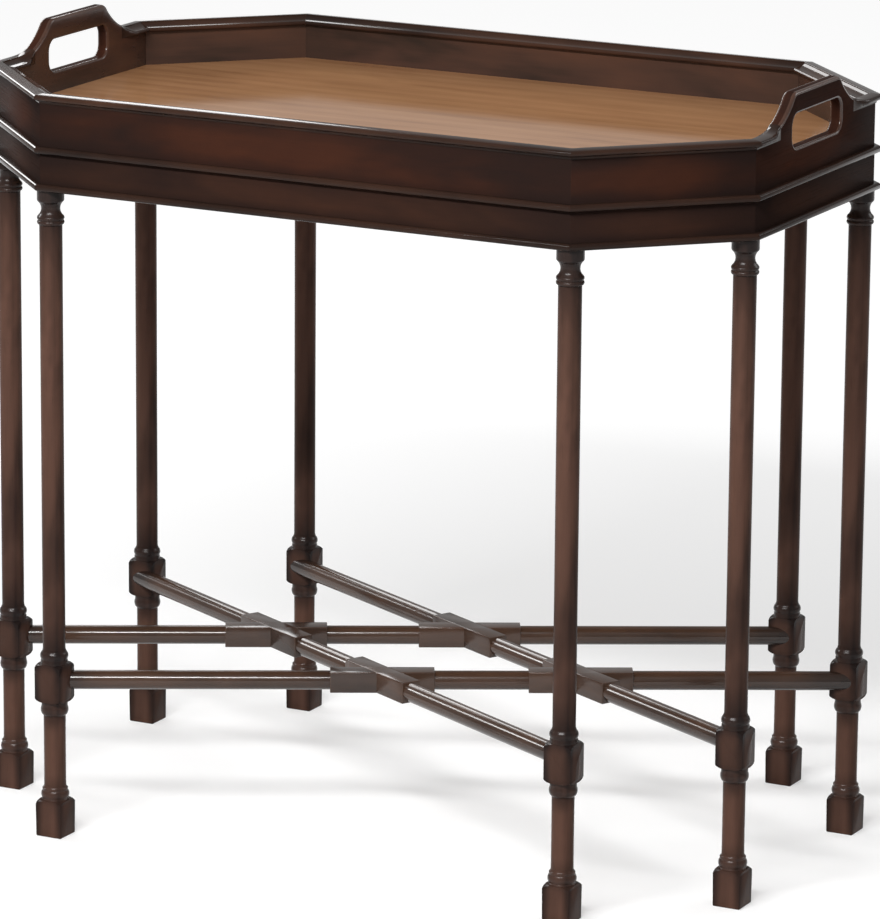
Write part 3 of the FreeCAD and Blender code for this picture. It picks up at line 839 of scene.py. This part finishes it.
def tail_loop(along, share):
    """The outline of a return's tail, on its way from the rim's section to the board's rounded edge."""
    drawn_in = share * share * (3 - 2 * share)
    lifted = share * share
    points = []
    for (outwards, level), (end_outwards, end_up) in zip(rim_section, curved(tail_outline)):
        end_level = max(rim_base, tail_top + tail_proud + end_up * mm)
        points.append((along, outwards + (end_outwards * mm - outwards) * drawn_in,
                       level + (end_level - level) * lifted))
    return points


def add_loop(shape, points):
    """A closed line through points."""
    corners = [shape.verts.new(point) for point in points]
    return [shape.edges.new(pair) for pair in zip(corners, corners[1:] + corners[:1])]


for side, front_hand in (("left", -1), ("right", 1)):
    own, half = side_frame(side)
    for end_name, hand in (("front", front_hand), ("rear", -front_hand)):
        piece = new_shape()
        loops = [add_loop(piece, tail_loop(hand * (half + spare_length), 0))]
        for count in range(tail_steps + 1):
            share = count / tail_steps
            loops.append(add_loop(piece, tail_loop(hand * (step - tail_length * share), share)))
        for loop, following in zip(loops, loops[1:]):
            bmesh.ops.bridge_loops(piece, edges=loop + following)
        for loop in (loops[0], loops[-1]):
            bmesh.ops.contextual_create(piece, geom=loop)
        bmesh.ops.recalc_face_normals(piece, faces=piece.faces[:])
        saw_mitre(piece, half, hand, rim_reach)
        bmesh.ops.transform(piece, matrix=own, verts=piece.verts[:])
        settle(piece, f"rim_return_{side}_{end_name}", "tray", [rim_wood], own)

# Floor, light and camera. A plain pale floor of matt paint, the soft lamps, walls and ceiling of a studio,
# and a long lens at the photograph's angle.
floor_half = 30
floor_colour = (0.6, 0.6, 0.6, 1)
floor_roughness = 0.9
near_level = 0.4
far_level = 0.72
far_start = 0.6
far_end = 3.5
floor = bpy.data.meshes.new("floor")
ground = bmesh.new()
bmesh.ops.create_grid(ground, x_segments=1, y_segments=1, size=floor_half)
ground.to_mesh(floor)
ground.free()
floor_material = bpy.data.materials.new("floor_paint")
floor_material.use_nodes = True
floor_shader = floor_material.node_tree.nodes["Principled BSDF"]
floor_shader.inputs["Base Color"].default_value = floor_colour
floor_shader.inputs["Roughness"].default_value = floor_roughness
floor_shader.inputs["Specular IOR Level"].default_value = 0.0
# The camera and gloss see the floor as white, with more help far off, where the lamps hardly reach
floor_spot = add_node(floor_material, "ShaderNodeTexCoord", {})
floor_reach = add_node(floor_material, "ShaderNodeVectorMath", {0: floor_spot.outputs["Object"]},
                       operation="LENGTH")
seen = add_node(floor_material, "ShaderNodeLightPath", {})
seen_or_shown = computed(floor_material, "ADD", seen.outputs["Is Camera Ray"],
                         seen.outputs["Is Glossy Ray"])
seen_at_all = computed(floor_material, "ADD", seen_or_shown, seen.outputs["Is Transmission Ray"])
far_white = between(floor_material, floor_reach.outputs["Value"], far_start, far_end, near_level, far_level)
floor_material.node_tree.links.new(computed(floor_material, "MULTIPLY", seen_at_all, far_white),
                                   floor_shader.inputs["Emission Strength"])
floor_shader.inputs["Emission Color"].default_value = (1, 1, 1, 1)
floor.materials.append(floor_material)
floor_object = bpy.data.objects.new("floor", floor)
bpy.context.scene.collection.objects.link(floor_object)

# The studio's walls are pale and its ceiling is dim, with a soft change between two heights
wall_light = 0.42
ceiling_light = 0.3
wall_end = 0.35
ceiling_start = 0.75
world = bpy.data.worlds.new("studio")
world.use_nodes = True
look = add_node(world, "ShaderNodeTexCoord", {})
height = add_node(world, "ShaderNodeSeparateXYZ", {"Vector": look.outputs["Generated"]})
background = world.node_tree.nodes["Background"]
background.inputs["Color"].default_value = (1, 1, 1, 1)
strength = between(world, height.outputs["Z"], wall_end, ceiling_start, wall_light, ceiling_light)
world.node_tree.links.new(strength, background.inputs["Strength"])
bpy.context.scene.world = world

# Name, place, size across and up, and power in watts
lamps = [
    ("key", (0.2, -2.1, 2.05), 1.7, 0.2, 80),
    ("strip", (-1.75, 1.65, 1.7), 1.2, 0.5, 12),
    ("side", (-2.6, 0.0, 1.55), 0.6, 0.3, 12),
    ("edge", (-2.2, 1.24, 1.33), 0.5, 0.35, 5),
    ("rear", (1.9, 2.2, 1.9), 1.2, 1.0, 14),
]
aim = Vector((0, 0, 0.45))
for name, place, across, up, power in lamps:
    lamp = bpy.data.lights.new(name, "AREA")
    lamp.shape = "RECTANGLE"
    lamp.size = across
    lamp.size_y = up
    lamp.energy = power
    lamp_object = bpy.data.objects.new(name, lamp)
    lamp_object.location = place
    lamp_object.rotation_euler = (aim - Vector(place)).to_track_quat("-Z", "Y").to_euler()
    bpy.context.scene.collection.objects.link(lamp_object)

camera_place = (2.4827, -4.7751, 1.676)
camera_yaw = 27.351
camera_pitch = 13.915
camera_roll = 0.478
sensor_width = 36
focal_length = 230.47
farthest = 100
camera = bpy.data.cameras.new("camera")
camera.sensor_width = sensor_width
camera.lens = focal_length
camera.clip_end = farthest
camera_object = bpy.data.objects.new("camera", camera)
camera_object.matrix_world = (
    Matrix.Translation(camera_place)
    @ Matrix.Rotation(math.radians(camera_yaw), 4, "Z")
    @ Matrix.Rotation(math.radians(90 - camera_pitch), 4, "X")
    @ Matrix.Rotation(math.radians(camera_roll), 4, "Z")
)
bpy.context.scene.collection.objects.link(camera_object)
bpy.context.scene.camera = camera_object
bpy.context.scene.view_settings.view_transform = "Standard"
